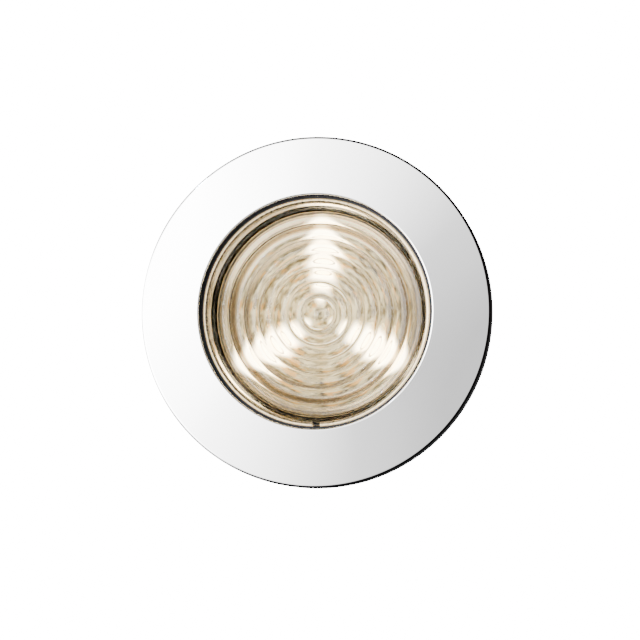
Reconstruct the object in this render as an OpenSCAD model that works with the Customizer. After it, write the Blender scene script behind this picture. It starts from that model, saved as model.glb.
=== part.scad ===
// Round flush-mount LED lamp: a snap-on polished trim bezel over a screw flange,
// a recessed clear lens with concentric scalloped rings, three LEDs, a finned heat
// sink and a two-bullet supply socket at the rear.
// Modules are drawn with the lamp's face up (+Z) and the panel plane at z = 0.
// facing_front() then turns the face to -Y, with +Z up.

/* [Trim bezel] */
// Outside diameter of the bezel
bezel_d = 76.2; // [74:0.1:90]
// Diameter of the window in the bezel
window_d = 50.8; // [50.5:0.1:52]
// Height of the bezel's face above the panel
bezel_front = 6.4; // [6:0.1:9]
// Thickness of the bezel's sheet
bezel_sheet = 0.5; // [0.4:0.05:0.5]
// Radius of the bezel's rolled outer edge
bezel_roll = 0.6; // [0.6:0.1:1.1]
// How much lower the face is at its outer edge than at the window
bezel_fall = 0.5; // [0.3:0.1:0.6]

/* [Housing] */
// Diameter of the screw flange
flange_d = 70.9; // [70:0.1:71]
// Thickness of the screw flange
flange_t = 2.8; // [2.8:0.1:3]
// Diameter of the barrel that goes through the panel
barrel_d = 56; // [55:0.1:57]
// Length of the barrel behind the panel
barrel_depth = 18; // [18:0.5:20]
// Thickness of the panel gasket
gasket_t = 1.5; // [1.3:0.1:1.5]

/* [Mounting screws] */
// Diameter of the screw circle
screw_pcd = 63.5; // [62:0.1:65]
// Diameter of the screw holes
screw_hole_d = 4.2; // [3.5:0.1:4.5]

/* [Lens] */
// Diameter of the lens
lens_d = 49.2; // [49.2:0.1:50]
// Width of one scalloped ring of the lens
ring_pitch = 3.3; // [3.2:0.01:3.3]
// Number of rings round the centre dimple
ring_count = 6; // [4:1:6]
// Depth of each scallop below its ridges
ring_depth = 0.95; // [0.6:0.05:1.1]
// Thickness of the lens under its scallops
lens_t = 1.6; // [1.5:0.1:2]

/* [LEDs] */
// Distance of each LED from the centre
led_circle_r = 12; // [11.5:0.1:12.5]
// Side of the square LED package
led_side = 5; // [4.5:0.1:5]
// Radius of the phosphor window in each LED
led_window_r = 2; // [1.6:0.1:2]

/* [Rear] */
// Height of the heat sink's fins
fin_h = 8; // [6:0.5:12]
// Thickness of one fin
fin_t = 1.5; // [1:0.1:2]
// Distance from fin to fin
fin_pitch = 4; // [3.5:0.1:6]
// Diameter of the supply bullets
bullet_d = 4.57; // [4:0.01:5]
// Distance between the supply bullets
bullet_spacing = 12.7; // [12:0.1:13]

/* [Hidden] */
$fn = 96;
gap = 0.05;                 // clearance between pieces that only locate each other
eps = 0.01;
arc_steps = 8;

bezel_r = bezel_d / 2;
window_r = window_d / 2;
flange_r = flange_d / 2;
barrel_r = barrel_d / 2;
screw_r = screw_pcd / 2;
lens_r = lens_d / 2;
flange_top = gasket_t + flange_t;

// Bezel
bezel_skirt_z = 0.5;        // the skirt stops just short of the panel
bezel_lip = 1.6;            // the skirt's turned-in lip
bezel_wall_z = flange_top + 0.3;
window_edge_r = 0.3;        // rounding of the window's edge
roll_end = 88;              // where the rolled edge meets the sloping face, in degrees
carrier_out_r = bezel_r - bezel_sheet - gap;
carrier_in_r = flange_r + 0.3;
shoulder_r = flange_r - 1.2;
carrier_z = [bezel_skirt_z + bezel_sheet + gap, bezel_front - bezel_fall - bezel_roll];
spring_angle = 16;          // arc that each leaf spring covers
spring_strip = 0.35;        // thickness of the spring strip
spring_back = carrier_out_r - 0.55;
spring_z = [2, 4.4];
window_clear = 0.1;         // room round a spring in its window
groove_z = [2.3, 3.7];      // groove round the flange that the springs sit in
groove_depth = 0.7;

// Housing bore, from the front
bore_r = lens_r + 0.2;
lens_back_z = -ring_depth - lens_t;
seal_t = 0.6;
ledge_z = lens_back_z - seal_t;
ledge_r = 22.9;
ledge_t = 1.2;
ledge_cone = 1;             // height of the cone under the ledge
chamber_r = 23.9;
root_r = barrel_r + 0.3;    // the barrel's step inside the gasket
wire_r = 0.65;              // retaining ring's wire
wire_land = 0.4;            // housing left in front of the wire's groove
lens_top_z = flange_top - wire_land - 2 * wire_r;
wire_ring_r = bore_r - 0.35;
wire_z = lens_top_z + wire_r;
wire_gap_angle = 4;

// Lens dish: the scallops' ridges lie at z = 0
dish_wall_angle = 68;
bead_r = 1.5;               // bead in the middle of the centre dimple
bead_h = 0.5;

// Board, reflector and heat sink, from the front
board_z = -12;              // front face of the board
board_t = 1.6;
board_r = chamber_r - 0.3;
board_back_z = board_z - board_t;
led_h = 1.6;
led_window_depth = 0.6;     // recess that holds the phosphor
reflector_floor_z = -8.6;
reflector_floor_r = 17.8;
reflector_top_z = ledge_z - ledge_t - ledge_cone - 0.1;
reflector_rim_z = reflector_top_z - 0.3;
reflector_t = 0.7;
reflector_out_r = chamber_r - 0.2;
cup_top_r = 4.8;
cup_bottom_r = 2.5;
pad_t = 0.5;
board_screw_circle_r = 20.6;
board_screw_hole_r = 1.4;
sink_front_z = board_back_z - pad_t;
sink_t = 2.5;
sink_r = barrel_r - 0.2;
sink_back_z = -barrel_depth - sink_t;
sink_plug_r = chamber_r - 0.1;
seal_wire_r = 0.75;
seal_z = -barrel_depth + 1.2;
fin_inner_r = 15.2;
sink_screw_circle_r = (chamber_r + barrel_r) / 2;
insert_r = 1.5;             // brass insert for a heat sink screw
insert_l = 4;

// Screws, as [shank radius, shank length, head radius, head height]
board_screw = [1.2, 5, 2.1, 1.3];
sink_screw = [1, sink_t + 5, 1.9, 1.3];
socket_screw = [1.25, 5.8, 2.3, 1.4];

// Supply socket
socket_gasket_t = 0.8;
socket_flange_z = sink_back_z - socket_gasket_t;
socket_flange_t = 1.8;
socket_flange_r = 14.6;
socket_back_z = socket_flange_z - 13;
recess_floor_z = socket_flange_z - 2;
recess_r = 4.9;             // end radius of the plug recess
recess_reach = 6.2;         // from the centre to the middle of each end
socket_wall = 1.6;
neck_r = 3.2;
neck_reach = 5.8;
bullet_r = bullet_d / 2;
bullet_back_z = socket_back_z + 1;
tail_r = 0.9;
socket_screw_circle_r = 10.4;

// Angles round the lamp's axis
screw_angles = [90, 210, 330];
led_angles = [90, 210, 330];
between_angles = [30, 150, 270];

// ---- Helpers ----

// Points along an arc, both ends included
function arc(centre, r, from, to, steps = arc_steps) = [
    for (i = [0 : steps])
        let (a = from + (to - from) * i / steps)
        centre + r * [cos(a), sin(a)]
];

module facing_front() {
    rotate([90, 0, 0]) children();
}

module at_angles(angles, r) {
    for (a = angles)
        rotate(a) translate([r, 0, 0]) children();
}

// A flat ring from z0 up to z1
module ring(r_in, r_out, z0, z1) {
    translate([0, 0, z0])
        difference() {
            cylinder(r = r_out, h = z1 - z0);
            translate([0, 0, -1]) cylinder(r = r_in, h = z1 - z0 + 2);
        }
}

// A rod along the axis from z0 up to z1
module rod(r, z0, z1) {
    translate([0, 0, z0]) cylinder(r = r, h = z1 - z0);
}

// A slot-shaped bar: round ends of radius r, their centres reach from the axis
module slot_bar(r, reach, z0, z1) {
    for (side = [-1, 1])
        translate([side * reach, 0, 0]) rod(r, z0, z1);
    translate([-reach, -r, z0]) cube([2 * reach, 2 * r, z1 - z0]);
}

// A pan-head screw with its head's seat at z = 0 and its shank towards +Z
module pan_screw(sizes) {
    shank_r = sizes[0];
    length = sizes[1];
    head_r = sizes[2];
    head_h = sizes[3];
    tip = 0.5;
    slot_half = 0.22;
    difference() {
        union() {
            cylinder(r = shank_r, h = length - tip);
            translate([0, 0, length - tip]) cylinder(r1 = shank_r, r2 = shank_r * 0.6, h = tip);
            rotate_extrude()
                polygon(concat(
                    [[0, 0], [head_r, 0]],
                    arc([head_r - head_h * 0.6, -head_h * 0.4], head_h * 0.6, 0, -90, 4),
                    [[0, -head_h]]
                ));
        }
        for (a = [0, 90])
            rotate(a)
                translate([-head_r * 0.5, -slot_half, -head_h - eps])
                    cube([head_r, 2 * slot_half, head_h * 0.6]);
    }
}

// ---- Bezel ----

module trim_bezel() {
    top = bezel_front;
    roll_c = [bezel_r - bezel_roll, top - bezel_fall - bezel_roll];
    edge_c = [window_r + window_edge_r, top - window_edge_r];
    inner_roll = bezel_roll - bezel_sheet;
    outline = concat(
        [[bezel_r - bezel_lip, bezel_skirt_z], [bezel_r, bezel_skirt_z]],
        arc(roll_c, bezel_roll, 0, roll_end),
        arc(edge_c, window_edge_r, 90, 180),
        [[window_r, bezel_wall_z], [window_r + bezel_sheet, bezel_wall_z]],
        [[window_r + bezel_sheet, top - bezel_sheet - gap]],
        arc(roll_c, inner_roll, roll_end, 0),
        [[bezel_r - bezel_sheet, bezel_skirt_z + bezel_sheet]],
        [[bezel_r - bezel_lip, bezel_skirt_z + bezel_sheet]]
    );
    color("silver")
        facing_front()
            rotate_extrude() polygon(outline);
}

// An L-shaped ring in the bezel's rim, with a window for each spring
module bezel_carrier() {
    window_angle = spring_angle + 3;
    color("dimgray")
        facing_front()
            difference() {
                union() {
                    ring(carrier_in_r, carrier_out_r, carrier_z[0], carrier_z[1]);
                    ring(shoulder_r, carrier_in_r + 1, flange_top + 0.3, carrier_z[1]);
                }
                for (a = between_angles)
                    rotate(a - window_angle / 2)
                        rotate_extrude(angle = window_angle)
                            translate([carrier_in_r - 0.2, spring_z[0] - window_clear])
                                square([
                                    spring_back - carrier_in_r + 0.2,
                                    spring_z[1] - spring_z[0] + 2 * window_clear
                                ]);
            }
}

// Three leaf springs, each bent to a shallow vee that sits in the flange's groove
module bezel_springs() {
    tip_r = flange_r - groove_depth + 0.15;
    tip_z = (groove_z[0] + groove_z[1]) / 2;
    back = spring_back - gap;
    front = back - spring_strip;
    bend = 0.2;
    color("lightsteelblue")
        facing_front()
            for (a = between_angles)
                rotate(a - spring_angle / 2)
                    rotate_extrude(angle = spring_angle)
                        polygon([
                            [back, spring_z[1]], [front, spring_z[1] - bend],
                            [tip_r, tip_z + bend / 2], [tip_r, tip_z - bend / 2],
                            [front, spring_z[0] + bend], [back, spring_z[0]],
                            [tip_r + spring_strip + bend / 2, tip_z]
                        ]);
}

// ---- Lens ----

function arc_radius(half_width, depth) = (half_width * half_width + depth * depth) / (2 * depth);

// A clear dish with scalloped rings round a centre dimple that holds a small bead
module lens() {
    ridge_half = 0.05;      // half the width of the flat left on each ridge
    scallop_r = arc_radius(ring_pitch / 2 - ridge_half, ring_depth);
    scallop_z = scallop_r - ring_depth;
    outer_scallop = (ring_count + 0.5) * ring_pitch;
    dimple_depth = ring_depth * 1.5;
    dimple_sphere_r = arc_radius(ring_pitch - ridge_half, dimple_depth);
    boss_z = lens_back_z - ring_depth / 2;
    wall_foot = [
        outer_scallop + scallop_r * sin(dish_wall_angle),
        scallop_z - scallop_r * cos(dish_wall_angle)
    ];
    wall_run = (lens_top_z - wall_foot[1]) / tan(dish_wall_angle);
    bead_sphere_r = arc_radius(bead_r, bead_h);
    color("azure", 0.5)
        facing_front() {
            difference() {
                rotate_extrude()
                    polygon([
                        [0, boss_z], [ring_pitch, boss_z], [ring_pitch + 1, lens_back_z],
                        [lens_r, lens_back_z], [lens_r, lens_top_z],
                        [wall_foot[0] + wall_run, lens_top_z], wall_foot,
                        [wall_foot[0] - 0.3, 0], [0, 0]
                    ]);
                for (k = [1 : ring_count])
                    rotate_extrude()
                        translate([(k + 0.5) * ring_pitch, scallop_z]) circle(r = scallop_r);
                translate([0, 0, dimple_sphere_r - dimple_depth]) sphere(r = dimple_sphere_r);
            }
            intersection() {
                translate([0, 0, bead_h - dimple_depth - bead_sphere_r]) sphere(r = bead_sphere_r);
                rod(bead_r, -dimple_depth - 0.2, 1);
            }
        }
}

module lens_retaining_ring() {
    color("gainsboro")
        facing_front()
            rotate(270 + wire_gap_angle / 2)
                rotate_extrude(angle = 360 - wire_gap_angle)
                    translate([wire_ring_r, wire_z]) circle(r = wire_r, $fn = 32);
}

module lens_seal() {
    color("dimgray")
        facing_front()
            ring(ledge_r + 0.2, bore_r - 0.1, ledge_z, lens_back_z);
}

// ---- Housing ----

// Screw flange, barrel and lens bore in one moulding
module housing() {
    chamfer = 0.3;
    insert_hole_depth = insert_l + 2;
    outline = [
        [root_r, gasket_t], [flange_r, gasket_t], [flange_r, groove_z[0]],
        [flange_r - groove_depth, groove_z[0] + chamfer],
        [flange_r - groove_depth, groove_z[1] - chamfer],
        [flange_r, groove_z[1]], [flange_r, flange_top - chamfer], [flange_r - chamfer, flange_top],
        [bore_r, flange_top], [bore_r, ledge_z], [ledge_r, ledge_z],
        [ledge_r, ledge_z - ledge_t], [chamber_r, ledge_z - ledge_t - ledge_cone],
        [chamber_r, -barrel_depth], [barrel_r, -barrel_depth], [barrel_r, 0], [root_r, 0]
    ];
    color([0.12, 0.12, 0.13])
        facing_front()
            difference() {
                rotate_extrude() polygon(outline);
                rotate_extrude()
                    translate([wire_ring_r, wire_z]) circle(r = wire_r + gap, $fn = 32);
                at_angles(screw_angles, screw_r)
                    rod(screw_hole_d / 2, gasket_t - 1, flange_top + 1);
                at_angles(between_angles, sink_screw_circle_r) {
                    rod(insert_r, -barrel_depth - 1, -barrel_depth + insert_l);
                    rod(sink_screw[0], -barrel_depth, -barrel_depth + insert_hole_depth);
                }
            }
}

module screw_inserts() {
    color("goldenrod")
        facing_front()
            at_angles(between_angles, sink_screw_circle_r)
                ring(sink_screw[0] + gap / 2, insert_r, -barrel_depth + 0.1, -barrel_depth + insert_l);
}

module panel_gasket() {
    color([0.2, 0.2, 0.2])
        facing_front()
            difference() {
                ring(root_r + 0.1, flange_r - 0.5, 0, gasket_t);
                at_angles(screw_angles, screw_r)
                    rod(screw_hole_d / 2 + 0.2, -1, gasket_t + 1);
            }
}

// ---- Light engine ----

// A bowl with a cup over each LED, standing on the board on its outer wall
module reflector() {
    floor_bottom = reflector_floor_z - reflector_t;
    wall_in_r = reflector_out_r - reflector_t;
    cup_bottom_z = board_z + led_h + 0.1;
    color("gainsboro")
        facing_front()
            difference() {
                union() {
                    rotate_extrude()
                        polygon([
                            [0, floor_bottom], [reflector_floor_r + 0.3, floor_bottom],
                            [wall_in_r, reflector_rim_z - 1.2], [wall_in_r, board_z],
                            [reflector_out_r, board_z], [reflector_out_r, reflector_top_z],
                            [wall_in_r, reflector_top_z], [wall_in_r, reflector_rim_z],
                            [reflector_floor_r, reflector_floor_z], [0, reflector_floor_z]
                        ]);
                    at_angles(led_angles, led_circle_r)
                        translate([0, 0, cup_bottom_z])
                            cylinder(
                                r1 = cup_bottom_r + reflector_t,
                                r2 = cup_top_r,
                                h = floor_bottom + eps - cup_bottom_z
                            );
                }
                at_angles(led_angles, led_circle_r)
                    translate([0, 0, cup_bottom_z - eps])
                        cylinder(
                            r1 = cup_bottom_r, r2 = cup_top_r,
                            h = reflector_floor_z - cup_bottom_z + 2 * eps
                        );
            }
}

module led_board() {
    key_notch_r = 1.2;
    color("whitesmoke")
        facing_front()
            difference() {
                rod(board_r, board_back_z, board_z);
                at_angles(between_angles, board_screw_circle_r)
                    rod(board_screw_hole_r, board_back_z - 1, board_z + 1);
                for (side = [-1, 1])
                    translate([side * bullet_spacing / 2, 0, 0])
                        rod(tail_r + 0.1, board_back_z - 1, board_z + 1);
                at_angles([0], board_r) rod(key_notch_r, board_back_z - 1, board_z + 1);
            }
}

module led_packages() {
    color("ivory")
        facing_front()
            at_angles(led_angles, led_circle_r)
                difference() {
                    translate([-led_side / 2, -led_side / 2, board_z])
                        cube([led_side, led_side, led_h]);
                    rod(led_window_r, board_z + led_h - led_window_depth, board_z + led_h + 1);
                }
}

// The phosphor fills each package's window with a low dome
module led_phosphors() {
    dome_h = 0.25;
    dome_r = arc_radius(led_window_r - gap / 2, dome_h);
    color("gold")
        facing_front()
            at_angles(led_angles, led_circle_r)
                intersection() {
                    translate([0, 0, board_z + led_h + dome_h - dome_r]) sphere(r = dome_r);
                    rod(led_window_r - gap / 2, board_z + led_h - led_window_depth, board_z + led_h + 1);
                }
}

// A block on the board's front face, centred on a point
module chip(size, at) {
    translate([at[0] - size[0] / 2, at[1] - size[1] / 2, board_z]) cube(size);
}

// An eight-leg driver chip
module regulator_chip() {
    leg_pitch = 1.27;
    leg_reach = 2.3;
    centre_y = -5.6;
    color([0.1, 0.1, 0.1])
        facing_front() {
            translate([0, 0, 0.15]) chip([4.9, 3.9, 1.3], [0, centre_y]);
            for (side = [-1, 1], i = [-1.5 : 1.5])
                chip([0.42, 1.2, 0.35], [i * leg_pitch, centre_y + side * leg_reach]);
        }
}

module resistors() {
    color([0.15, 0.15, 0.17])
        facing_front()
            for (a = between_angles)
                rotate(a) chip([1.25, 2, 0.55], [15.8, 0]);
}

module capacitors() {
    color("peru")
        facing_front()
            for (side = [-1, 1])
                chip([1.6, 3.2, 1.4], [side * 3.6, 3.4]);
}

module protection_diode() {
    color([0.12, 0.12, 0.12])
        facing_front()
            chip([4.3, 2.6, 1.5], [0, -11.4]);
}

// Cones of solder where the bullets' tails come through the board
module solder_joints() {
    color("silver")
        facing_front()
            for (side = [-1, 1])
                translate([side * bullet_spacing / 2, 0, board_z])
                    difference() {
                        cylinder(r1 = 1.7, r2 = tail_r + 0.1, h = 0.9);
                        translate([0, 0, -1]) cylinder(r = tail_r + gap / 2, h = 3);
                    }
}

module board_screws() {
    color("silver")
        facing_front()
            at_angles(between_angles, board_screw_circle_r)
                translate([0, 0, board_z])
                    mirror([0, 0, 1]) pan_screw(board_screw);
}

module thermal_pad() {
    color("lightsteelblue")
        facing_front()
            difference() {
                rod(board_r - 0.3, sink_front_z, board_back_z);
                at_angles(between_angles, board_screw_circle_r)
                    rod(board_screw_hole_r, sink_front_z - 1, board_z);
                slot_bar(neck_r + 0.3, neck_reach, sink_front_z - 1, board_z);
            }
}

// ---- Rear ----

// A plug that closes the barrel, with an outer disc and straight fins
module heat_sink() {
    fin_span = floor((sink_r - fin_t) / fin_pitch);
    groove_half = 0.9;
    head_room_r = 3.4;
    fin_end_z = sink_back_z - fin_h;
    color("darkgray")
        facing_front()
            difference() {
                union() {
                    rod(sink_plug_r, -barrel_depth, sink_front_z);
                    rod(sink_r, sink_back_z, -barrel_depth);
                    difference() {
                        intersection() {
                            ring(fin_inner_r, sink_r - 0.5, fin_end_z, sink_back_z + eps);
                            for (i = [-fin_span : fin_span])
                                translate([i * fin_pitch - fin_t / 2, -barrel_r, fin_end_z])
                                    cube([fin_t, barrel_d, fin_h + eps]);
                        }
                        at_angles(between_angles, sink_screw_circle_r)
                            rod(head_room_r, fin_end_z - 1, sink_back_z + 1);
                    }
                }
                ring(sink_plug_r - 2 * seal_wire_r, barrel_r, seal_z - groove_half, seal_z + groove_half);
                slot_bar(neck_r + 0.2, neck_reach, sink_back_z - 1, sink_front_z + 1);
                at_angles(between_angles, sink_screw_circle_r)
                    rod(sink_screw[0] + 0.15, sink_back_z - 1, -barrel_depth + 1);
                at_angles(between_angles, board_screw_circle_r)
                    rod(board_screw[0] + gap / 2, board_z - board_screw[1] - 0.6, sink_front_z + 1);
                for (side = [-1, 1])
                    translate([0, side * socket_screw_circle_r, 0])
                        rod(socket_screw[0] + gap / 2, sink_back_z - 1, sink_back_z + 4);
            }
}

module heat_sink_seal() {
    color([0.15, 0.15, 0.15])
        facing_front()
            rotate_extrude()
                translate([sink_plug_r - seal_wire_r + gap, seal_z])
                    circle(r = seal_wire_r, $fn = 32);
}

module heat_sink_screws() {
    color("silver")
        facing_front()
            at_angles(between_angles, sink_screw_circle_r)
                translate([0, 0, sink_back_z]) pan_screw(sink_screw);
}

module socket_gasket() {
    color([0.2, 0.2, 0.2])
        facing_front()
            difference() {
                rod(socket_flange_r - 0.3, socket_flange_z, sink_back_z);
                slot_bar(neck_r + 0.3, neck_reach, socket_flange_z - 1, sink_back_z + 1);
                for (side = [-1, 1])
                    translate([0, side * socket_screw_circle_r, 0])
                        rod(socket_screw[0] + 0.25, socket_flange_z - 1, sink_back_z + 1);
            }
}

module connector_socket() {
    ramp = [6, 1.4, 3];
    screw_hole_r = socket_screw[0] + 0.25;
    head_pocket_r = socket_screw[2] + 0.3;
    color([0.1, 0.1, 0.1])
        facing_front()
            difference() {
                union() {
                    slot_bar(neck_r, neck_reach, socket_flange_z - eps, board_back_z - 0.1);
                    rod(socket_flange_r, socket_flange_z - socket_flange_t, socket_flange_z);
                    slot_bar(recess_r + socket_wall, recess_reach, socket_back_z, socket_flange_z);
                    translate([-ramp[0] / 2, recess_r + socket_wall - 0.2, socket_back_z + ramp[2]])
                        cube(ramp);
                }
                slot_bar(recess_r, recess_reach, socket_back_z - 1, recess_floor_z);
                for (side = [-1, 1])
                    translate([side * bullet_spacing / 2, 0, 0])
                        rod(tail_r + gap / 2, socket_back_z, board_z);
                for (side = [-1, 1])
                    translate([0, side * socket_screw_circle_r, 0]) {
                        rod(screw_hole_r, socket_back_z, socket_flange_z + 1);
                        rod(head_pocket_r, socket_back_z - 1, socket_flange_z - socket_flange_t);
                    }
            }
}

module socket_screws() {
    color("silver")
        facing_front()
            for (side = [-1, 1])
                translate([0, side * socket_screw_circle_r, socket_flange_z - socket_flange_t])
                    pan_screw(socket_screw);
}

// Supply bullets: a shoulder on the recess floor, a detent near the nose, a tail through the board
module terminal_bullets() {
    nose_r = bullet_r * 0.75;
    detent_z = bullet_back_z + 3.6;
    outline = concat(
        [[0, board_z + 1], [tail_r, board_z + 1], [tail_r, recess_floor_z]],
        [[bullet_r, recess_floor_z], [bullet_r, detent_z + 0.8], [bullet_r - 0.5, detent_z]],
        [[bullet_r, detent_z - 0.8]],
        arc([bullet_r - nose_r, bullet_back_z + nose_r], nose_r, 0, -90, 6),
        [[0, bullet_back_z]]
    );
    color("goldenrod")
        facing_front()
            for (side = [-1, 1])
                translate([side * bullet_spacing / 2, 0, 0])
                    rotate_extrude() polygon(outline);
}

trim_bezel();
bezel_carrier();
bezel_springs();
lens();
lens_retaining_ring();
lens_seal();
housing();
panel_gasket();
reflector();
led_board();
led_packages();
led_phosphors();
regulator_chip();
resistors();
capacitors();
protection_diode();
solder_joints();
board_screws();
thermal_pad();
heat_sink();
heat_sink_seal();
screw_inserts();
heat_sink_screws();
connector_socket();
socket_gasket();
socket_screws();
terminal_bullets();
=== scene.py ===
"""A recessed LED lamp with a polished trim bezel and a clear ringed lens.

Everything is in metres in the CAD frame: the face looks to -Y, up is +Z and the lamp's axis is the Y axis. Outlines
are written as in the CAD, as (radius, height) in millimetres with the height growing towards the front.
"""

import math

import bmesh
import bpy
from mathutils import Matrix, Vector


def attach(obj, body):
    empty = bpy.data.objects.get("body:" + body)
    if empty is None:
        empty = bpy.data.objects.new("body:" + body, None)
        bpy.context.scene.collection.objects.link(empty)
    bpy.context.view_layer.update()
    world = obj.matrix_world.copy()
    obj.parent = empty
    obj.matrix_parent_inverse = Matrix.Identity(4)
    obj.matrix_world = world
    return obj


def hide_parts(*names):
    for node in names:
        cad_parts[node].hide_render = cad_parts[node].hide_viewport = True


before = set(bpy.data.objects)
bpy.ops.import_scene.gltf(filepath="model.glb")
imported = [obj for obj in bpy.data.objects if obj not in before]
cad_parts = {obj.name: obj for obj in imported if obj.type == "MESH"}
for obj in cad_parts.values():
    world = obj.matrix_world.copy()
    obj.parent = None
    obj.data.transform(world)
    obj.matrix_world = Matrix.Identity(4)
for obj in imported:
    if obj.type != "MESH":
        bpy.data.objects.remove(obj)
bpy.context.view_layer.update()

MM = 0.001
DEG = math.pi / 180

# ---------------------------------------------------------------------------------------------------------------------
# Meshes


def place(x, y, z):
    """A point of the face-up outline space, in millimetres, as a point of the scene."""
    return (x * MM, -z * MM, y * MM)


def arc(centre, radius, start, end, steps):
    """Points along an arc in the outline plane, both ends included, with angles in degrees."""
    return [
        (
            centre[0] + radius * math.cos((start + (end - start) * i / steps) * DEG),
            centre[1] + radius * math.sin((start + (end - start) * i / steps) * DEG),
        )
        for i in range(steps + 1)
    ]


def lathe(name, outline, segments=320, start=0.0, sweep=360.0, sharp=35.0):
    """Revolves an outline round the lamp's axis into a closed solid with crisp corners and smooth curves."""
    whole = sweep >= 360
    columns = segments if whole else segments + 1
    verts, rows = [], []
    for r, z in outline:
        if r < 1e-6:
            rows.append([len(verts)] * columns)
            verts.append(place(0, 0, z))
            continue
        rows.append(list(range(len(verts), len(verts) + columns)))
        for i in range(columns):
            a = (start + sweep * i / segments) * DEG
            verts.append(place(r * math.cos(a), r * math.sin(a), z))
    on_axis = outline[0][0] < 1e-6 and outline[-1][0] < 1e-6
    faces = []
    for j in range(len(rows) - 1 if on_axis else len(rows)):
        low, high = rows[j], rows[(j + 1) % len(rows)]
        for i in range(segments):
            k = (i + 1) % columns
            face = list(dict.fromkeys([low[i], low[k], high[k], high[i]]))
            if len(face) > 2:
                faces.append(face)
    if not whole:
        faces += [[row[0] for row in rows], [row[-1] for row in rows]]
    return finish_mesh(name, verts, faces, sharp)


def finish_mesh(name, verts, faces, sharp=35.0):
    mesh = bpy.data.meshes.new(name)
    mesh.from_pydata(verts, [], faces)
    bm = bmesh.new()
    bm.from_mesh(mesh)
    bmesh.ops.recalc_face_normals(bm, faces=bm.faces)
    bm.to_mesh(mesh)
    bm.free()
    mesh.shade_smooth()
    mesh.set_sharp_from_angle(angle=sharp * DEG)
    obj = bpy.data.objects.new(name, mesh)
    bpy.context.scene.collection.objects.link(obj)
    return obj


# ---------------------------------------------------------------------------------------------------------------------
# Materials


LED_ANGLES = (90, 210, 330)

# The lens rings, in millimetres: distance from ridge to ridge, depth, and half width of the flat on a ridge
PITCH, DEPTH, RIDGE = 3.3, 0.95, 0.05

# Each LED's painted reflection on the reflector, a glowing streak, in metres: distance from the axis, how much longer
# than wide it is, distances at which it is full and gone, and its strength
STREAK_R, STREAK_STRETCH, STREAK_CORE, STREAK_EDGE, STREAK_GLOW = 0.0132, 2.6, 0.0005, 0.0043, 60.0


class Shader:
    """A material's nodes, made with short calls."""

    def __init__(self, name):
        self.mat = bpy.data.materials.new(name)
        self.mat.use_nodes = True
        self.tree = self.mat.node_tree
        self.bsdf = self.tree.nodes["Principled BSDF"]
        self.out = self.tree.nodes["Material Output"]
        self.where = self.node("ShaderNodeTexCoord").outputs["Object"]

    def node(self, kind, **inputs):
        node = self.tree.nodes.new(kind)
        for key, value in inputs.items():
            self.put(node.inputs[key.replace("_", " ")], value)
        return node

    def put(self, socket, value):
        if isinstance(value, bpy.types.NodeSocket):
            self.tree.links.new(value, socket)
        else:
            socket.default_value = value

    def set(self, **values):
        for key, value in values.items():
            self.put(self.bsdf.inputs[key.replace("_", " ")], value)
        return self

    def stretched(self, scale):
        """Object coordinates in metres, scaled along each axis."""
        node = self.node("ShaderNodeMapping", Vector=self.where)
        node.inputs["Scale"].default_value = scale
        return node.outputs["Vector"]

    def radius(self):
        """Distance from the lamp's axis, in metres."""
        node = self.node("ShaderNodeVectorMath")
        node.operation = "LENGTH"
        self.put(node.inputs[0], self.stretched((1.0, 0.0, 1.0)))
        return node.outputs["Value"]

    def painted_led_reflections(self):
        """A painted reflection of each LED on the reflector, in emission: a soft oval along the LED's own radius."""
        nearest = 1.0
        for angle in LED_ANGLES:
            local = self.node("ShaderNodeMapping", Vector=self.where)
            local.vector_type = "TEXTURE"
            local.inputs["Location"].default_value = (
                STREAK_R * math.cos(angle * DEG), 0.0, STREAK_R * math.sin(angle * DEG))
            local.inputs["Rotation"].default_value = (0.0, -angle * DEG, 0.0)
            local.inputs["Scale"].default_value = (STREAK_STRETCH, 1000.0, 1.0)
            away = self.node("ShaderNodeVectorMath")
            away.operation = "LENGTH"
            self.put(away.inputs[0], local.outputs["Vector"])
            nearest = self.math("MINIMUM", away.outputs["Value"], nearest)
        return self.math("POWER", self.remap(nearest, STREAK_EDGE, STREAK_CORE, 0.0, 1.0), 2.0)

    def by_radius(self, stops):
        """A colour for each distance from the axis, from (millimetres, colour) stops."""
        reach = stops[-1][0] * MM
        ramp = self.node("ShaderNodeValToRGB", Fac=self.math("DIVIDE", self.radius(), reach))
        marks = ramp.color_ramp.elements
        while len(marks) < len(stops):
            marks.new(0.5)
        for mark, (at, colour) in zip(marks, stops):
            mark.position = at * MM / reach
            mark.color = (*colour, 1)
        return ramp.outputs["Color"]

    def noise(self, scale, detail=3.0, vector=None):
        node = self.node("ShaderNodeTexNoise", Vector=vector or self.where, Scale=scale, Detail=detail)
        node.inputs["Roughness"].default_value = 0.55
        return node.outputs["Fac"]

    def cells(self, scale, feature="F1"):
        node = self.node("ShaderNodeTexVoronoi", Vector=self.where, Scale=scale)
        node.feature = feature
        return node.outputs["Distance"]

    def remap(self, value, lo, hi, to_lo, to_hi):
        node = self.node("ShaderNodeMapRange", Value=value)
        for key, number in (("From Min", lo), ("From Max", hi), ("To Min", to_lo), ("To Max", to_hi)):
            node.inputs[key].default_value = number
        return node.outputs["Result"]

    def math(self, operation, a, b=0.0):
        node = self.node("ShaderNodeMath")
        node.operation = operation
        self.put(node.inputs[0], a)
        self.put(node.inputs[1], b)
        return node.outputs[0]

    def mix(self, fac, a, b):
        node = self.tree.nodes.new("ShaderNodeMix")
        node.data_type = "RGBA"
        self.put(node.inputs["Factor"], fac)
        for socket, value in ((node.inputs[6], a), (node.inputs[7], b)):
            self.put(socket, (*value, 1) if isinstance(value, tuple) else value)
        return node.outputs[2]

    def bump(self, height, distance, strength=1.0):
        node = self.node("ShaderNodeBump", Height=height, Distance=distance, Strength=strength)
        self.put(self.bsdf.inputs["Normal"], node.outputs["Normal"])


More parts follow.
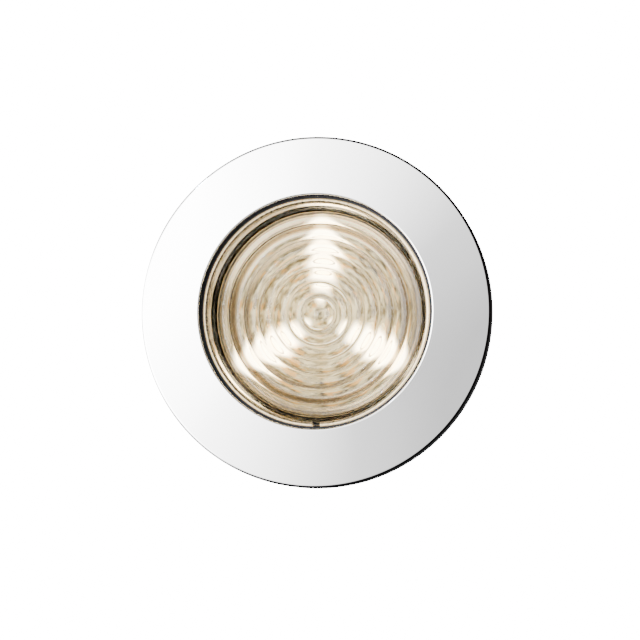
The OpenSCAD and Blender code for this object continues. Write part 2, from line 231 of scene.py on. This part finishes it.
def polished_steel():
    s = Shader("polished_steel_mirror")
    haze = s.noise(260.0, 2.0)
    wipe = s.noise(1.0, 4.0, vector=s.stretched((900.0, 900.0, 5200.0)))
    s.set(Metallic=1.0, Base_Color=s.mix(haze, (0.952, 0.953, 0.957), (0.968, 0.968, 0.970)))
    s.set(Roughness=s.remap(s.math("MULTIPLY", haze, wipe), 0.15, 0.45, 0.018, 0.045))
    s.bump(wipe, 0.00000015)
    return s.mat


def moulded_plastic(name, colour, deep, rough=0.42, grain=5200.0, depth=0.000012, level=0.5):
    """Spark-eroded moulding: fine leathery grain, a slow change of gloss and slightly paler worn spots."""
    s = Shader(name)
    grain_cells = s.cells(grain)
    fine = s.noise(grain * 0.6, 3.0)
    slow = s.noise(90.0, 2.0)
    s.set(Base_Color=s.mix(s.remap(slow, 0.3, 0.7, 0.0, 1.0), deep, colour))
    s.set(Roughness=s.remap(s.math("ADD", slow, fine), 0.7, 1.3, rough - 0.07, rough + 0.10))
    s.set(Specular_IOR_Level=level)
    s.bump(s.math("ADD", grain_cells, fine), depth, 0.6)
    return s.mat


def rubber(name, colour, rough=0.6):
    s = Shader(name)
    dust = s.noise(420.0, 4.0)
    pits = s.noise(7000.0, 3.0)
    pale = tuple(min(1.0, c * 1.9 + 0.01) for c in colour)
    s.set(Base_Color=s.mix(s.remap(dust, 0.42, 0.75, 0.0, 0.7), colour, pale))
    s.set(Roughness=s.remap(dust, 0.3, 0.7, rough - 0.08, rough + 0.14))
    s.bump(pits, 0.000012, 0.5)
    return s.mat


def foam():
    s = Shader("gasket_foam_closed_cell")
    cells = s.cells(2600.0)
    small = s.cells(6100.0)
    slow = s.noise(150.0, 3.0)
    both = s.math("ADD", cells, s.math("MULTIPLY", small, 0.5))
    s.set(Base_Color=s.mix(s.remap(both, 0.2, 0.9, 0.0, 1.0), (0.012, 0.012, 0.013), (0.045, 0.045, 0.047)))
    s.set(Roughness=s.remap(slow, 0.3, 0.7, 0.78, 0.95))
    s.bump(both, 0.00009, 0.8)
    return s.mat


def clear_lens():
    """Clear moulding with painted shade: a tea-coloured tint on each ring's outer part and dark bands on the sloping
    wall.
    """
    s = Shader("clear_lens_polycarbonate")
    stops = [(0.0, (1.0, 0.98, 0.92))]
    clear = (1.0, 0.975, 0.90)
    # Painted shade: the outer part of each ring gets a tea-coloured tint, darker ring by ring
    for k in range(1, 7):
        depth = 0.04 * k if k < 6 else 0.42
        painted_ring_shade = (0.92 - depth, 0.86 - depth * 1.1, 0.72 - depth * 1.1)
        ridge = k * PITCH
        stops += [(ridge - 1.35, clear), (ridge - 0.95, painted_ring_shade), (ridge - 0.12, painted_ring_shade), (ridge + 0.12, clear)]
    # Painted shade on the sloping wall: a dark line, then a pale band, then darker bands out to the rim
    stops += [(21.3, clear), (21.55, (0.42, 0.35, 0.24)), (21.9, (0.97, 0.91, 0.78)),
              (22.6, (0.84, 0.77, 0.64)), (23.4, (0.52, 0.46, 0.36)), (25.0, (0.38, 0.33, 0.25))]
    s.set(Base_Color=s.by_radius(stops), Roughness=0.0, IOR=1.56, Transmission_Weight=1.0)
    s.set(Specular_Tint=(0.4, 0.4, 0.4, 1))
    flow = s.noise(420.0, 3.0)
    turned = s.node("ShaderNodeCombineXYZ", X=s.math("MULTIPLY", s.radius(), 1000.0))
    marks = s.noise(2.1, 3.0, vector=turned.outputs["Vector"])
    s.bump(s.math("ADD", flow, marks), 0.00003, 0.5)
    return s.mat


def ring_steel():
    """Drawn wire with painted shade on the side against the lens and a painted glow on the other."""
    s = Shader("ring_steel_drawn_wire")
    drawn = s.noise(1400.0, 3.0)
    # Painted shade: the inner side, against the lens, is darker
    painted_shade_mask = s.by_radius([(0.0, (0.30, 0.26, 0.19)), (24.15, (0.34, 0.29, 0.20)), (24.5, (1.0, 1.0, 1.0)),
                           (25.2, (1.0, 1.0, 1.0))])
    # Painted reflection: the warm gold tone of the outer side stands in for reflected warm light
    bright = s.mix(drawn, (0.86, 0.64, 0.34), (0.95, 0.76, 0.46))
    s.set(Metallic=0.7, Base_Color=s.mix(painted_shade_mask, (0.24, 0.20, 0.14), bright))
    s.set(Roughness=s.remap(drawn, 0.3, 0.7, 0.24, 0.34))
    # Painted glow: the outer side glows warm, in emission, for light from the lens edge
    lit = s.by_radius([(0.0, (0.0, 0.0, 0.0)), (24.35, (0.0, 0.0, 0.0)), (24.6, (1.0, 0.77, 0.42)),
                       (25.2, (1.0, 0.70, 0.34))])
    s.set(Emission_Color=lit, Emission_Strength=0.7)
    s.bump(drawn, 0.000001, 0.3)
    return s.mat


def metallised():
    s = Shader("metallised_plastic_reflector")
    ripple = s.noise(330.0, 3.0)
    fine = s.noise(3600.0, 3.0)
    bowl = s.remap(s.radius(), 0.0168, 0.0182, 0.0, 1.0)
    # Frosted floor: a random ripple tone, then painted reflections on top of it: orange-gold patches and dark flecks
    floor_with_painted_reflections = s.mix(s.remap(ripple, 0.38, 0.6, 0.0, 1.0), (0.17, 0.14, 0.08), (0.84, 0.775, 0.56))
    floor_with_painted_reflections = s.mix(s.remap(s.noise(240.0, 2.0), 0.55, 0.63, 0.0, 0.8), floor_with_painted_reflections, (0.86, 0.52, 0.17))
    floor_with_painted_reflections = s.mix(s.remap(s.noise(760.0, 2.0), 0.62, 0.68, 0.0, 0.9), floor_with_painted_reflections, (0.05, 0.05, 0.05))
    s.set(Metallic=s.remap(bowl, 0.0, 1.0, 0.15, 1.0), Base_Color=s.mix(bowl, floor_with_painted_reflections, (0.70, 0.62, 0.48)))
    s.set(Roughness=s.math("SUBTRACT", s.remap(fine, 0.3, 0.7, 0.3, 0.4), s.math("MULTIPLY", bowl, 0.12)))
    # Painted reflection: each LED's streak glows on the reflector
    s.set(Emission_Color=s.mix(s.painted_led_reflections(), (0.0, 0.0, 0.0), (1.0, 0.87, 0.62)), Emission_Strength=STREAK_GLOW)
    s.bump(ripple, 0.00003, 0.5)
    return s.mat


def board_white():
    s = Shader("board_white_solder_mask")
    weave = s.noise(5200.0, 2.0)
    lanes = s.cells(230.0, feature="DISTANCE_TO_EDGE")
    s.set(Base_Color=s.mix(s.remap(lanes, 0.02, 0.05, 0.0, 1.0), (0.62, 0.64, 0.60), (0.83, 0.83, 0.79)))
    s.set(Roughness=s.remap(weave, 0.3, 0.7, 0.3, 0.42))
    s.bump(s.remap(lanes, 0.02, 0.06, 1.0, 0.0), 0.00003, 0.5)
    return s.mat


def ceramic():
    s = Shader("led_ceramic_body")
    grain = s.noise(6000.0, 3.0)
    s.set(Base_Color=s.mix(grain, (0.78, 0.74, 0.66), (0.88, 0.85, 0.78)))
    s.set(Roughness=s.remap(grain, 0.3, 0.7, 0.3, 0.45))
    s.bump(grain, 0.000006, 0.5)
    return s.mat


def phosphor():
    s = Shader("led_phosphor_glowing")
    grain = s.noise(3800.0, 3.0)
    s.set(Base_Color=(0.9, 0.75, 0.3, 1), Roughness=0.5)
    s.set(Emission_Color=s.mix(grain, (1.0, 0.80, 0.52), (1.0, 0.88, 0.66)), Emission_Strength=34.0)
    s.bump(grain, 0.00001, 0.5)
    return s.mat


def epoxy_chip():
    s = Shader("chip_black_epoxy")
    grain = s.noise(7200.0, 4.0)
    slow = s.noise(600.0, 2.0)
    s.set(Base_Color=s.mix(slow, (0.012, 0.012, 0.013), (0.032, 0.032, 0.034)))
    s.set(Roughness=s.remap(grain, 0.3, 0.7, 0.42, 0.6))
    s.bump(grain, 0.000012, 0.7)
    return s.mat


def capacitor_tan():
    s = Shader("capacitor_tan_ceramic")
    grain = s.noise(5200.0, 4.0)
    s.set(Base_Color=s.mix(grain, (0.38, 0.25, 0.14), (0.52, 0.38, 0.23)))
    s.set(Roughness=s.remap(grain, 0.3, 0.7, 0.35, 0.5))
    s.bump(grain, 0.000008, 0.5)
    return s.mat


def solder():
    s = Shader("solder_bright_tin")
    flow = s.noise(1500.0, 3.0)
    s.set(Metallic=1.0, Base_Color=s.mix(flow, (0.72, 0.73, 0.74), (0.88, 0.88, 0.88)))
    s.set(Roughness=s.remap(flow, 0.3, 0.7, 0.15, 0.35))
    s.bump(flow, 0.00002, 0.5)
    return s.mat


def plated_steel(name, colour, lift, rough=0.28):
    """Zinc-plated or stainless hardware: turned marks, patchy plating and small dull spots."""
    s = Shader(name)
    marks = s.noise(1.0, 3.0, vector=s.stretched((2500.0, 9000.0, 2500.0)))
    patch = s.noise(900.0, 4.0)
    s.set(Metallic=1.0, Base_Color=s.mix(s.remap(patch, 0.3, 0.7, 0.0, 1.0), colour, lift))
    s.set(Roughness=s.remap(s.math("ADD", marks, patch), 0.7, 1.3, rough - 0.06, rough + 0.12))
    s.bump(marks, 0.000004, 0.7)
    return s.mat


def thermal_silicone():
    s = Shader("thermal_silicone_grey")
    grain = s.noise(3000.0, 4.0)
    s.set(Base_Color=s.mix(grain, (0.28, 0.30, 0.33), (0.40, 0.42, 0.45)))
    s.set(Roughness=s.remap(grain, 0.3, 0.7, 0.62, 0.8))
    s.bump(grain, 0.00001, 0.5)
    return s.mat


def cast_aluminium():
    """Die-cast and tumbled: sandy skin, faint flow marks and darker pores."""
    s = Shader("cast_aluminium_tumbled")
    sand = s.noise(5200.0, 4.0)
    flow = s.noise(1.0, 3.0, vector=s.stretched((140.0, 60.0, 420.0)))
    pores = s.remap(s.cells(1500.0), 0.02, 0.10, 1.0, 0.0)
    tone = s.mix(s.remap(flow, 0.35, 0.65, 0.0, 1.0), (0.55, 0.56, 0.57), (0.68, 0.69, 0.70))
    s.set(Metallic=1.0, Base_Color=s.mix(pores, tone, (0.30, 0.30, 0.31)))
    s.set(Roughness=s.remap(s.math("ADD", sand, flow), 0.7, 1.3, 0.34, 0.52))
    s.bump(s.math("SUBTRACT", sand, pores), 0.00003, 0.6)
    return s.mat


MATERIALS = {
    "trim_bezel": polished_steel(),
    "bezel_carrier": moulded_plastic("grey_plastic_moulded", (0.20, 0.205, 0.21), (0.15, 0.155, 0.16), 0.5),
    "bezel_springs": plated_steel("spring_steel_strip", (0.50, 0.50, 0.52), (0.64, 0.64, 0.65), 0.24),
    "lens": clear_lens(),
    "lens_retaining_ring": ring_steel(),
    "lens_seal": rubber("seal_silicone_natural", (0.34, 0.285, 0.20), 0.55),
    "heat_sink_seal": rubber("seal_rubber_nitrile", (0.014, 0.014, 0.015), 0.5),
    "socket_gasket": rubber("seal_rubber_sheet", (0.018, 0.018, 0.019), 0.62),
    "housing": moulded_plastic(
        "black_plastic_moulded", (0.020, 0.020, 0.021), (0.012, 0.012, 0.013), 0.46, level=0.2),
    "panel_gasket": foam(),
    "reflector": metallised(),
    "led_board": board_white(),
    "led_packages": ceramic(),
    "led_phosphors": phosphor(),
    "regulator_chip": epoxy_chip(),
    "resistors": epoxy_chip(),
    "protection_diode": epoxy_chip(),
    "capacitors": capacitor_tan(),
    "solder_joints": solder(),
    "board_screws": plated_steel("screw_steel_small", (0.60, 0.61, 0.62), (0.74, 0.74, 0.74)),
    "heat_sink_screws": plated_steel("screw_steel_zinc", (0.62, 0.63, 0.65), (0.78, 0.78, 0.79)),
    "socket_screws": plated_steel("screw_steel_passivated", (0.62, 0.63, 0.65), (0.78, 0.78, 0.79)),
    "thermal_pad": thermal_silicone(),
    "heat_sink": cast_aluminium(),
    "screw_inserts": plated_steel("insert_brass_knurled", (0.62, 0.44, 0.18), (0.76, 0.57, 0.27), 0.3),
    "connector_socket": moulded_plastic("socket_plastic_nylon", (0.024, 0.024, 0.026), (0.015, 0.015, 0.016), 0.34),
    "terminal_bullets": plated_steel("terminal_brass_tinned", (0.74, 0.60, 0.34), (0.86, 0.76, 0.55), 0.22),
}

for node, material in MATERIALS.items():
    obj = bpy.data.objects[node]
    obj.data.materials.clear()
    obj.data.materials.append(material)


def stand_in(piece, node, body):
    """A smoother piece of the same shape takes a CAD node's place."""
    piece.data.materials.append(MATERIALS[node])
    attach(piece, body)
    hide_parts(node)
    return piece


# ---------------------------------------------------------------------------------------------------------------------
# Front pieces, with the CAD's own sizes and far finer curves

outer_roll = arc((37.5, 5.3), 0.6, 0, 88, 20)
window_roll = arc((25.7, 6.1), 0.3, 90, 180, 12)
face_from, face_to = Vector(outer_roll[-1]), Vector(window_roll[0])
bezel = lathe(
    "bezel_polished",
    [(36.5, 0.5), (38.0, 0.5), (38.1, 0.6)]
    + outer_roll
    + [tuple(face_from.lerp(face_to, along)) for along in (0.004, 0.01, 0.5, 0.99, 0.996)]
    + window_roll
    + [(25.4, 4.65), (25.45, 4.6), (25.9, 4.6), (25.9, 5.85)]
    + arc((37.5, 5.3), 0.1, 88, 0, 6)
    + [(37.6, 1.0), (36.5, 1.0)],
    360,
)
stand_in(bezel, "trim_bezel", "bezel")

half = PITCH / 2 - RIDGE
scallop_r = (half * half + DEPTH * DEPTH) / (2 * DEPTH)
scallop_z = scallop_r - DEPTH
flank = math.degrees(math.asin(half / scallop_r))
dimple_depth = DEPTH * 1.5
dimple_half = PITCH - RIDGE
dimple_r = (dimple_half * dimple_half + dimple_depth * dimple_depth) / (2 * dimple_depth)
dimple_edge = math.degrees(math.asin(dimple_half / dimple_r))
bead_r, bead_h = 1.5, 0.5
bead_sphere = (bead_r * bead_r + bead_h * bead_h) / (2 * bead_h)
bead_centre = bead_h - dimple_depth - bead_sphere
gap_z = dimple_r - dimple_depth - bead_centre
meet_z = bead_centre + (gap_z * gap_z + bead_sphere * bead_sphere - dimple_r * dimple_r) / (2 * gap_z)
meet_r = math.sqrt(bead_sphere * bead_sphere - (meet_z - bead_centre) ** 2)
bead_edge = math.degrees(math.asin(meet_r / bead_sphere))
dimple_start = math.degrees(math.asin(meet_r / dimple_r))

lens_face = arc((0.0, bead_centre), bead_sphere, 90, 90 - bead_edge, 8)
lens_face[0] = (0.0, lens_face[0][1])
lens_face += arc((0.0, dimple_r - dimple_depth), dimple_r, -90 + dimple_start, -90 + dimple_edge, 14)[1:]
for k in range(1, 7):
    end = 22.0 if k == 6 else 90 - flank
    lens_face += arc(((k + 0.5) * PITCH, scallop_z), scallop_r, -90 - flank, -end, 18)
foot = lens_face[-1]
wall_run = (2.6 - foot[1]) / math.tan(68 * DEG)
lens_face += [
    (foot[0] + wall_run * 0.5, (foot[1] + 2.6) / 2),
    (foot[0] + wall_run - 0.06, 2.5),
    (foot[0] + wall_run + 0.08, 2.6),
    (24.5, 2.6),
    (24.6, 2.5),
    (24.6, -2.45),
    (24.5, -2.55),
    (4.3, -2.55),
    (3.3, -3.025),
    (0.0, -3.025),
]
lens = lathe("lens_ringed_clear", lens_face, 360)
stand_in(lens, "lens", "housing")

wire = lathe("retaining_wire", arc((24.45, 3.25), 0.65, 0, 345, 23), 300, start=272.0, sweep=356.0)
stand_in(wire, "lens_retaining_ring", "housing")

# ---------------------------------------------------------------------------------------------------------------------
# Studio: a pale floor well below the lamp, soft boxes, and a surround that mirrors see


def floor_material():
    s = Shader("floor_pale_paper")
    tooth = s.noise(900.0, 4.0)
    s.set(Base_Color=s.mix(tooth, (0.84, 0.84, 0.84), (0.88, 0.88, 0.88)), Roughness=0.9)
    s.set(Emission_Color=(1.0, 1.0, 1.0, 1), Emission_Strength=5.0)
    s.bump(tooth, 0.0001, 0.3)
    return s.mat


def disc(name, radius, height, segments=96):
    rim = [
        (radius * math.cos(2 * math.pi * i / segments), radius * math.sin(2 * math.pi * i / segments), height)
        for i in range(segments)
    ]
    mesh = bpy.data.meshes.new(name)
    mesh.from_pydata(rim, [], [list(range(segments))])
    obj = bpy.data.objects.new(name, mesh)
    bpy.context.scene.collection.objects.link(obj)
    return obj


floor = disc("floor", 4.0, -0.8)
floor.data.materials.append(floor_material())
floor.visible_glossy = False
floor.visible_diffuse = False


def soft_box(name, place_at, size, energy, glossy=False, colour=(1.0, 1.0, 1.0)):
    light = bpy.data.lights.new(name, "AREA")
    light.shape = "DISK"
    light.size = size
    light.energy = energy
    light.color = colour
    obj = bpy.data.objects.new(name, light)
    obj.location = place_at
    obj.rotation_euler = (-Vector(place_at)).to_track_quat("-Z", "Y").to_euler()
    obj.visible_glossy = glossy
    obj.visible_camera = False
    bpy.context.scene.collection.objects.link(obj)
    return obj


soft_box("key_soft", (-0.9, -1.1, 1.1), 0.9, 14.0)
soft_box("fill_soft", (1.2, -0.9, 0.5), 0.9, 6.0)
soft_box("back_left", (-0.75, 0.85, 0.75), 0.5, 9.0, glossy=True)
soft_box("back_right", (0.95, 0.75, 0.45), 0.4, 7.0)
soft_box("back_low", (0.2, 0.9, -0.12), 0.3, 1.5)
soft_box("side_right", (1.2, 0.06, 0.30), 0.45, 3.0)
soft_box("side_left", (-1.2, 0.10, 0.25), 0.45, 3.0, glossy=True)
soft_box("glint_left", (-0.62, -1.0, 0.62), 0.07, 3.0, glossy=True, colour=(0.66, 0.78, 1.0))

# Light that the lens throws back into the chamber
inside = bpy.data.lights.new("chamber_glow", "AREA")
inside.shape = "DISK"
inside.size = 0.032
inside.energy = 0.003
inside.spread = 110 * DEG
inside.color = (1.0, 0.86, 0.62)
glow = bpy.data.objects.new("chamber_glow", inside)
glow.location = (0, 0.0034, 0)
glow.rotation_euler = (math.pi / 2, 0, 0)
glow.visible_camera = False
glow.visible_glossy = False
glow.visible_transmission = False
bpy.context.scene.collection.objects.link(glow)
for angle in LED_ANGLES:
    spill = bpy.data.lights.new("led_spill_%d" % angle, "POINT")
    spill.shadow_soft_size = 0.001
    spill.energy = 0.04
    spill.color = (1.0, 0.86, 0.62)
    lamp = bpy.data.objects.new("led_spill_%d" % angle, spill)
    lamp.location = place(12 * math.cos(angle * DEG), 12 * math.sin(angle * DEG), -6.6)
    lamp.visible_camera = False
    lamp.visible_glossy = False
    lamp.visible_transmission = False
    bpy.context.scene.collection.objects.link(lamp)


def surround():
    """White to the camera; mirrors see a studio that is white to the left, grey in front and dark elsewhere."""
    world = bpy.data.worlds.new("studio")
    bpy.context.scene.world = world
    world.use_nodes = True
    tree = world.node_tree
    nodes, links = tree.nodes, tree.links
    nodes.clear()

    def math_node(operation, a, b=0.0, clamp=False):
        node = nodes.new("ShaderNodeMath")
        node.operation, node.use_clamp = operation, clamp
        for socket, value in zip(node.inputs, (a, b)):
            if isinstance(value, bpy.types.NodeSocket):
                links.new(value, socket)
            else:
                socket.default_value = value
        return node.outputs[0]

    def weighted(x, y, z):
        total = math_node("MULTIPLY", axes.outputs["X"], x)
        total = math_node("ADD", total, math_node("MULTIPLY", axes.outputs["Y"], y))
        return math_node("ADD", total, math_node("MULTIPLY", axes.outputs["Z"], z))

    def rise(value, start, width):
        """From 0 at the start to 1 past the width."""
        return math_node("DIVIDE", math_node("SUBTRACT", value, start), width, True)

    axes = nodes.new("ShaderNodeSeparateXYZ")
    links.new(nodes.new("ShaderNodeTexCoord").outputs["Generated"], axes.inputs[0])

    # Level across the front, by the direction's sideways lean
    across = weighted(math.cos(22 * DEG), 0.0, -math.sin(22 * DEG))
    ramp = nodes.new("ShaderNodeValToRGB")
    steps = [(-0.287, 19.0), (-0.259, 15.0), (-0.232, 12.5), (-0.201, 8.8), (-0.167, 6.8), (-0.131, 5.0),
             (-0.097, 3.4), (-0.066, 2.15), (-0.0386, 1.8), (-0.022, 1.5), (-0.011, 1.3)]
    lo, span, top = -0.3, 0.3, 20.0
    ramp.color_ramp.interpolation = "LINEAR"
    marks = ramp.color_ramp.elements
    while len(marks) < len(steps):
        marks.new(0.5)
    for mark, (at, level) in zip(marks, steps):
        mark.position = (at - lo) / span
        mark.color = (level / top, level / top, level / top, 1)
    links.new(rise(across, lo, span), ramp.inputs["Fac"])
    front = math_node("MULTIPLY", ramp.outputs["Color"], top)

    # One wide bright field to the left of the camera, dark outside it
    near = weighted(-0.640, -0.766, -0.056)
    lit = rise(near, 0.62, 0.10)

    # The field ends above and below, lower on the right, and fades before it ends
    off_level = math_node("ABSOLUTE", axes.outputs["Z"])
    height = math_node("ADD", off_level, math_node("MULTIPLY", axes.outputs["X"], 0.35))
    lit = math_node("MULTIPLY", lit, math_node("SUBTRACT", 1.0, rise(height, 0.46, 0.14)))
    fade = math_node("MULTIPLY", rise(off_level, 0.24, 0.20), 0.85)
    lit = math_node("MULTIPLY", lit, math_node("SUBTRACT", 1.0, fade))

    # A faint light behind the lamp, and the darkest level
    behind = rise(axes.outputs["Y"], 0.6, 0.3)
    mirror_level = math_node("ADD", math_node("MULTIPLY", front, lit), math_node("MULTIPLY", behind, 0.05))
    mirror_level = math_node("ADD", mirror_level, 0.007)

    path = nodes.new("ShaderNodeLightPath")
    glossy = math_node("MULTIPLY", path.outputs["Is Glossy Ray"],
                       math_node("SUBTRACT", 1.0, path.outputs["Is Transmission Ray"]))
    level = math_node("ADD", math_node("MULTIPLY", glossy, mirror_level),
                      math_node("MULTIPLY", math_node("SUBTRACT", 1.0, glossy), 0.8))
    camera = path.outputs["Is Camera Ray"]
    level = math_node("ADD", math_node("MULTIPLY", camera, 22.0),
                      math_node("MULTIPLY", math_node("SUBTRACT", 1.0, camera), level))
    background = nodes.new("ShaderNodeBackground")
    links.new(level, background.inputs["Strength"])
    links.new(background.outputs[0], nodes.new("ShaderNodeOutputWorld").inputs["Surface"])


surround()

# ---------------------------------------------------------------------------------------------------------------------
# Camera: a long lens, from a little to the right and a little below

camera = bpy.data.cameras.new("camera")
camera.lens = 150
camera.clip_start, camera.clip_end = 0.05, 20
eye = bpy.data.objects.new("camera", camera)
azimuth, elevation, distance = 7.4 * DEG, -4.5 * DEG, 0.577
level_reach = math.cos(elevation)
back = Vector((math.sin(azimuth) * level_reach, -math.cos(azimuth) * level_reach, math.sin(elevation)))
eye.rotation_mode = "QUATERNION"
eye.rotation_quaternion = (-back).to_track_quat("-Z", "Y")
aim = Vector((0, -0.0045, 0)) + eye.rotation_quaternion @ Vector((0.95 * MM, -1.75 * MM, 0))
eye.location = aim + back * distance
bpy.context.scene.collection.objects.link(eye)
bpy.context.scene.camera = eye
